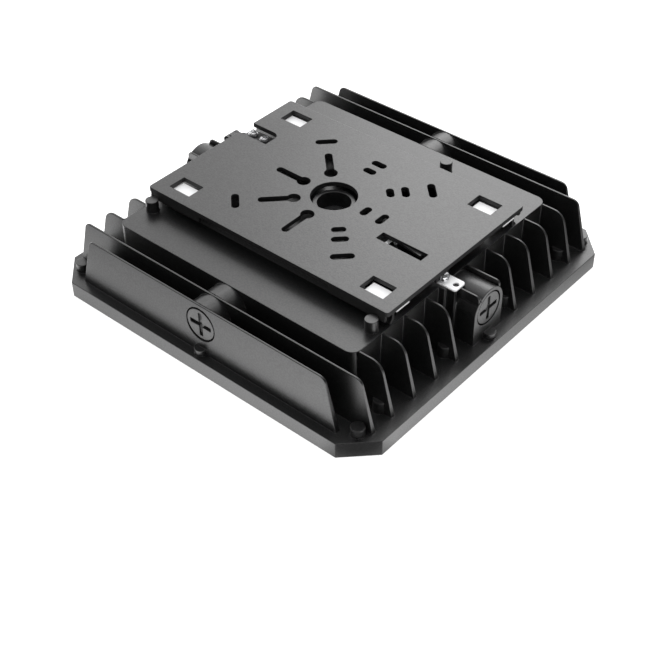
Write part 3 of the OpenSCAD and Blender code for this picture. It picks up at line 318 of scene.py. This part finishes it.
def phosphor():
    """Silicone over yellow phosphor in each emitter."""
    cap = Finish("phosphor")
    deep, pale, least_rough, rough_swing = (0.86, 0.68, 0.2), (0.95, 0.8, 0.32), 0.25, 0.1
    return cap.surface(Base_Color=cap.between(cap.noise(scale=700), deep, pale), Coat_Weight=0.4,
                       Roughness=least_rough + cap.noise(scale=300) * rough_swing)


pressed_edge = 0.0005
reflector_white = enamelled("reflector_white", (0.86, 0.86, 0.84), rough=0.3)
moulded_white = enamelled("moulded_white", (0.8, 0.8, 0.77), rough=0.4)
black_rubber = plain_rubber("black_rubber", (0.022, 0.022, 0.023))
softened("led_tray", pressed_edge, reflector_white, "fixture")
dressed(solder_mask("board_white", (0.86, 0.87, 0.85)), "board_aluminium", "led_board")
dressed(phosphor(), "emitter", "leds")
dressed(moulded_white, "white_plastic", "board_connector", "terminal_block")
dressed(black_rubber, "black_rubber", "tray_grommet", "hub_grommet")
dressed(screw_steel, "screw_steel", "tray_screws", "board_screws", "driver_screws",
        "terminal_mount_screws", "hinge_pin")

# Driver and wiring parts. The driver's steel case hangs under the roof beside the hub, with the
# terminal block and the earth screw in front of it.
case_edge = 0.0003
case_steel = plated("case_steel", (0.62, 0.63, 0.64), rough=0.36)
softened("driver_case", case_edge, case_steel, "fixture")
softened("driver_lid", case_edge, case_steel, "fixture")
dressed(solder_mask("board_green", (0.03, 0.2, 0.09)), "circuit", "driver_board")
dressed(plated("lug_brass", (0.72, 0.46, 0.26), rough=0.3), "lug_brass", "ground_lug")
dressed(enamelled("earth_green", (0.05, 0.3, 0.12), rough=0.35), "green_screw", "ground_screw")

# Hinge, clips and latch. The bracket is black sheet; the clips, the rest bar, the latch and the
# screws that show are bright zinc-plated steel.
bracket_edge, strip_edge, washer_edge = 0.00025, 0.0002, 0.0001
sheet_black = powder_coat("sheet_black", (0.003, 0.003, 0.0032), grain=0.9, gloss=0.33, cut=0.95)
bright_zinc = plated("bright_zinc", (0.97, 0.975, 0.98), rough=0.3, metal=0.1)
polished_zinc = plated("polished_zinc", (0.93, 0.935, 0.95), rough=0.13)
softened("hinge_bracket", bracket_edge, sheet_black, "fixture")
for zinc_node in ("clip_front_left", "clip_front_right", "clip_back_left", "clip_back_right",
                  "rest_bar", "latch_bracket"):
    softened(zinc_node, strip_edge, bright_zinc, "fixture")
for zinc_node in ("hinge_screws", "clip_screws", "latch_rivet"):
    softened(zinc_node, screw_edge, polished_zinc, "fixture")
dressed(polished_zinc, "zinc", "terminal_clamp_screws")
softened("lock_washer", washer_edge, polished_zinc, "lock_washer")
softened("lock_screw", screw_edge, polished_zinc, "lock_screw")

# Mounting plate. Laser-cut steel plate, powder coated, that is screwed to the ceiling box; the
# rest of the light hangs from its hinge and swings up to it.
plate_edge = 0.00028
softened("mounting_plate", plate_edge, sheet_black, "plate")


# Conduit plugs. Each threaded entry is shut by a cross-slotted plug, cast in aluminium and powder
# coated like the housing, on a rubber O-ring that sits in the groove under the plug's head.
def cord_ring(low, high, cord):
    """An O-ring that fills a box: an oval section as wide as the cord, carried once round the axis.
    Radius = middle + half the cord times cos(turn); height = half the box times sin(turn)."""
    size = np.array(high) - np.array(low)
    axis = int(np.argmin(size))
    one, two = (axis + 1) % 3, (axis + 2) % 3
    rounds, turns = 96, 20
    u, v = np.meshgrid(np.arange(rounds) * 2 * np.pi / rounds,
                       np.arange(turns) * 2 * np.pi / turns, indexing="ij")
    radius = size[one] / 2 - cord / 2 + cord / 2 * np.cos(v)
    points = np.empty((rounds, turns, 3))
    points[..., axis] = size[axis] / 2 * np.sin(v)
    points[..., one], points[..., two] = radius * np.cos(u), radius * np.sin(u)
    points += (np.array(high) + np.array(low)) / 2
    here = np.arange(rounds * turns).reshape(rounds, turns)
    over, up = np.roll(here, -1, 0), np.roll(here, -1, 1)
    faces = np.stack([here, over, np.roll(over, -1, 1), up], -1).reshape(-1, 4)
    return points.reshape(-1, 3), faces


def seal_ring(side, cord=0.00135):
    """The O-ring of one side's plug, in place of the node's square section."""
    points, faces = cord_ring(*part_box("seal_" + side), cord)
    mesh = bpy.data.meshes.new("seal_" + side + "_ring")
    mesh.from_pydata(points, [], faces)
    mesh.shade_smooth()
    mesh.materials.append(black_rubber)
    piece = bpy.data.objects.new("seal_" + side + "_ring", mesh)
    bpy.context.scene.collection.objects.link(piece)
    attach(piece, "seal_" + side)
    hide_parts("seal_" + side)


plug_edge = 0.00035
plug_black = powder_coat("plug_black", (0.003, 0.003, 0.0032), grain=0.25, gloss=0.3)
for side in ("right", "back", "left", "front"):
    softened("plug_" + side, plug_edge, plug_black, "plug_" + side)
    seal_ring(side)

# Floor and light. A white sweep lit by a large soft box from behind the left side and a weak one
# overhead, with a fill that no surface mirrors. What the black coat mirrors fades across the sky,
# and across the floor by a painted reflection shade: as glossy rays see it, the floor is painted
# darker in places, standing in for dark cards beside the object.
bpy.context.scene.view_settings.view_transform = "Standard"
floor_mesh = bpy.data.meshes.new("floor")
floor_reach, floor_drop = 6, -0.0002
floor_mesh.from_pydata([(x * floor_reach, y * floor_reach, floor_drop)
                        for x, y in ((-1, -1), (1, -1), (1, 1), (-1, 1))], [], [(0, 1, 2, 3)])
floor = bpy.data.objects.new("floor", floor_mesh)
bpy.context.scene.collection.objects.link(floor)
paper = Finish("paper")


def seen_directly(shade):
    """1 where a camera, glossy or transmitted ray meets the background, else 0."""
    rays = [shade.node("ShaderNodeLightPath", out=ray) for ray in
            ("Is Camera Ray", "Is Glossy Ray", "Is Transmission Ray")]
    return (rays[0] + rays[1] + rays[2]).clamped()


# Painted reflection shade: the paper's colour and glow are painted darker for glossy rays only, so
# the floor stays evenly white to the camera. A level is the share of the paper's white that the
# coat mirrors: in front of the light, where it grows to the right and to the back; beside the
# light's right side, where it falls to the back; and close to the front right corner, where little
# is left.
across = paper.node("ShaderNodeSeparateXYZ", {}, {0: paper.place()}, out="X")
along = paper.node("ShaderNodeSeparateXYZ", {}, {0: paper.place()}, out="Y")
reflected = paper.node("ShaderNodeLightPath", out="Is Glossy Ray")
right_edge, right_sharpness = 0.122, 100
at_right = (across * right_sharpness - right_edge * right_sharpness).clamped()
front_share, front_line, growth_across, growth_along = 0.86, 0.14, 2, 6
front_level = (front_share + across * growth_across + (along + front_line) * growth_along).clamped()
right_share, right_fall = 0.63, 2.6
right_level = (right_share - along * right_fall).clamped()
corner, corner_sharpness, corner_share = 0.135, 50, 0.1
corner_distance = ((across - corner) ** 2 + (along + corner) ** 2) ** 0.5
off_corner = (corner_distance * corner_sharpness - 1).clamped()
level = front_level * (1 - at_right) + right_level * at_right
# Painted reflection shade: 1 paints the floor black and 0 leaves it white, only where a glossy ray
# meets it.
painted_reflection_shade = (1 - level * (corner_share + off_corner * (1 - corner_share))) * reflected
paper_white, paper_glow = (0.8, 0.8, 0.8), 0.62
paper_surface = paper.node("ShaderNodeBsdfDiffuse", {}, {
    "Color": paper.between(painted_reflection_shade, paper_white, (0, 0, 0))})
paper_light = paper.node("ShaderNodeEmission", {}, {
    "Color": paper.between(painted_reflection_shade, (1, 1, 1), (0, 0, 0)),
    "Strength": seen_directly(paper) * paper_glow})
paper.node("ShaderNodeOutputMaterial", {}, {"Surface": paper.node("ShaderNodeAddShader", {}, {
    0: paper_surface, 1: paper_light})})
floor_mesh.materials.append(paper.material)

sky = bpy.data.worlds.new("sky")
bpy.context.scene.world = sky
sky.use_nodes = True


class Sky(Finish):
    """The world's tree, written in the same way as a material's."""

    def __init__(self, world):
        self.tree = world.node_tree
        self.tree.nodes.clear()


air = Sky(sky)
bright_side = (-0.6, 0.75, 0.28)
toward = air.node("ShaderNodeVectorMath", {"operation": "DOT_PRODUCT"}, {
    0: air.node("ShaderNodeTexCoord", out="Generated"), 1: bright_side}, out="Value")
growth, start = 1.25, 0.15
shade = (toward * growth - start).clamped()
mirrored = air.node("ShaderNodeLightPath", out="Is Glossy Ray")
darkest_loss, regained = 0.95, 0.84
air_light = air.node("ShaderNodeBackground", {}, {
    "Color": (1, 1, 1), "Strength": 1 - mirrored * (darkest_loss - shade * regained)})
air.node("ShaderNodeOutputWorld", {}, {"Surface": air_light})


def soft_box(name, place, width, height, power, mirrored_too=True):
    """An area light at place, facing the origin, that glossy surfaces mirror or leave out."""
    data = bpy.data.lights.new(name, "AREA")
    data.shape, data.size, data.size_y, data.energy = "RECTANGLE", width, height, power
    lamp = bpy.data.objects.new(name, data)
    bpy.context.scene.collection.objects.link(lamp)
    lamp.location = place
    lamp.visible_glossy = mirrored_too
    lamp.rotation_euler = Vector(place).to_track_quat("Z", "Y").to_euler()


soft_box("back", (-0.35, 1.15, 0.95), width=1.1, height=0.8, power=4.2)
soft_box("overhead", (0.1, 0.1, 1.4), width=0.8, height=0.8, power=1.2)
soft_box("fill", (0, 0, 1.2), width=0.7, height=0.7, power=3.2, mirrored_too=False)
